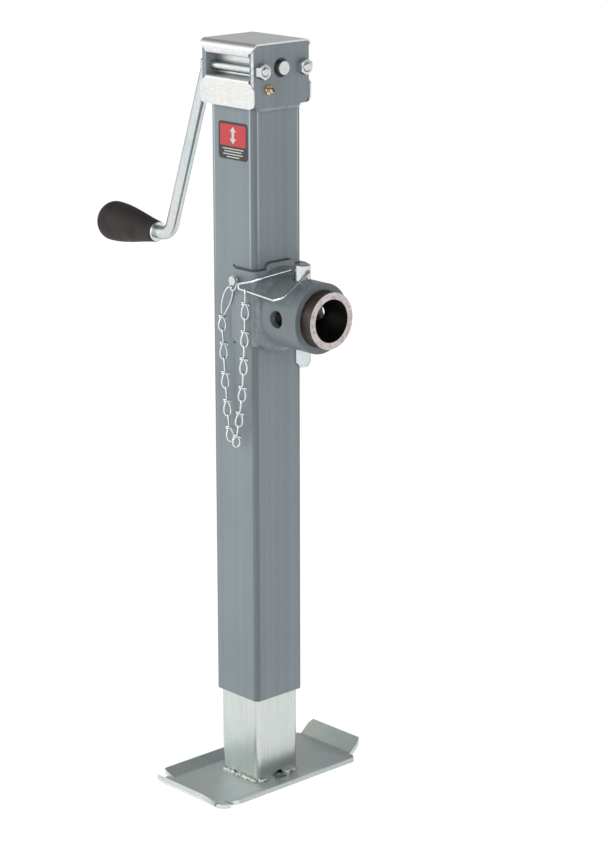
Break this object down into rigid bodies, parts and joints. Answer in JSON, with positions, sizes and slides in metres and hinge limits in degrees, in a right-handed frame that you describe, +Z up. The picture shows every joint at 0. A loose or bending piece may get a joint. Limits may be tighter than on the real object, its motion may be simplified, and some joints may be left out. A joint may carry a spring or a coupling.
{
  "type": "trailer tongue jack",
  "caption": "Side-wind square-tube trailer jack: geared head with crank, telescoping drop leg on a foot plate, and a pivoting pipe mount locked by a chained pin.",
  "frame": {"origin": "centre of the foot's underside, on the axis of the tubes, with the leg fully retracted", "axes": "+Z up the jack, +X out along the mounting pipe, crank on the -X side, chain and label on the -Y face"},
  "size_m": [0.3124, 0.2032, 0.6909],
  "materials": {
    "grey_paint": "satin blue-grey paint over steel",
    "zinc_plate": "bright zinc plating with a faint grain",
    "zinc_fastener": "bright zinc plating",
    "bright_wire": "bright plated wire",
    "bare_steel": "bare cut pipe with brown oxide outside and a bright sawn end",
    "inner_steel": "oiled machined steel",
    "brass": "machined brass",
    "grip_plastic": "satin black-brown moulded plastic",
    "label_film": "printed vinyl label"
  },
  "bodies": {
    "jack_body": {"outer_tube": "grey_paint", "case_plate_crank_side": "grey_paint", "case_plate_mount_side": "grey_paint", "head_cover": "zinc_plate", "cover_bolts": "zinc_fastener", "cover_nuts": "zinc_fastener", "grease_fitting": "brass", "shaft_bushes": "inner_steel", "bearing_plate": "inner_steel", "thrust_race_upper": "inner_steel", "mount_bracket": "grey_paint", "pivot_sleeve": "grey_paint", "sleeve_weld": "grey_paint", "chain_stud": "zinc_fastener", "label_plate": "label_film"},
    "crank": {"crank_rod": "zinc_plate", "pinion": "inner_steel", "pinion_pin": "inner_steel", "shaft_collar": "zinc_fastener", "grip_washer": "zinc_fastener", "grip_retainer": "zinc_fastener"},
    "grip": {"grip": "grip_plastic"},
    "screw": {"lead_screw": "inner_steel", "bevel_gear": "inner_steel", "gear_pin": "inner_steel", "thrust_race_lower": "inner_steel", "thrust_balls": "inner_steel", "screw_stop": "inner_steel"},
    "leg": {"drop_tube": "zinc_plate", "drive_nut": "brass", "foot_plate": "zinc_plate"},
    "pin": {"lock_pin": "zinc_fastener"},
    "bail": {"bail": "bright_wire"},
    "chain_left": {"chain_left": "bright_wire"},
    "chain_right": {"chain_right": "bright_wire"},
    "pipe": {"weld_pipe": "bare_steel"}
  },
  "joints": [
    {"name": "crank_turn", "type": "hinge", "parent": "jack_body", "child": "crank", "pos_m": [0, 0, 0.6682], "axis": [1, 0, 0], "range_deg": [0, 45000]},
    {"name": "screw_turn", "type": "hinge", "parent": "jack_body", "child": "screw", "pos_m": [0, 0, 0.64], "axis": [0, 0, 1], "range_deg": [0, 27001]},
    {"name": "leg_slide", "type": "slide", "parent": "jack_body", "child": "leg", "axis": [0, 0, -1], "range_m": [0, 0.38102]},
    {"name": "grip_spin", "type": "hinge", "parent": "crank", "child": "grip", "pos_m": [-0.1197, 0, 0.4983], "axis": [-0.9997, 0, 0.0244], "continuous": true},
    {"name": "pin_pull", "type": "slide", "parent": "jack_body", "child": "pin", "axis": [0, 0, 1], "range_m": [0, 0.09]},
    {"name": "bail_lift", "type": "hinge", "parent": "pin", "child": "bail", "pos_m": [0.06, 0, 0.4927], "axis": [1, 0, 0], "range_deg": [-50, 0]},
    {"name": "chain_right_hang", "type": "hinge", "parent": "bail", "child": "chain_right", "pos_m": [0.0265, -0.038, 0.475], "axis": [1, 0, 0], "range_deg": [-0.05, 50.05]},
    {"name": "chain_left_swing", "type": "hinge", "parent": "jack_body", "child": "chain_left", "pos_m": [0.0124, -0.037, 0.482], "axis": [0, 1, 0], "range_deg": [0, 30]},
    {"name": "pipe_swivel", "type": "hinge", "parent": "jack_body", "child": "pipe", "pos_m": [0.036, 0, 0.4534], "axis": [1, 0, 0], "range_deg": [-1.5, 1.5]}
  ],
  "couplings": [
    {"joint": "screw_turn", "follows": "crank_turn", "ratio": 0.6},
    {"joint": "leg_slide", "follows": "crank_turn", "m_per_rad": 0.0004851},
    {"joint": "chain_right_hang", "follows": "bail_lift", "ratio": -1}
  ]
}
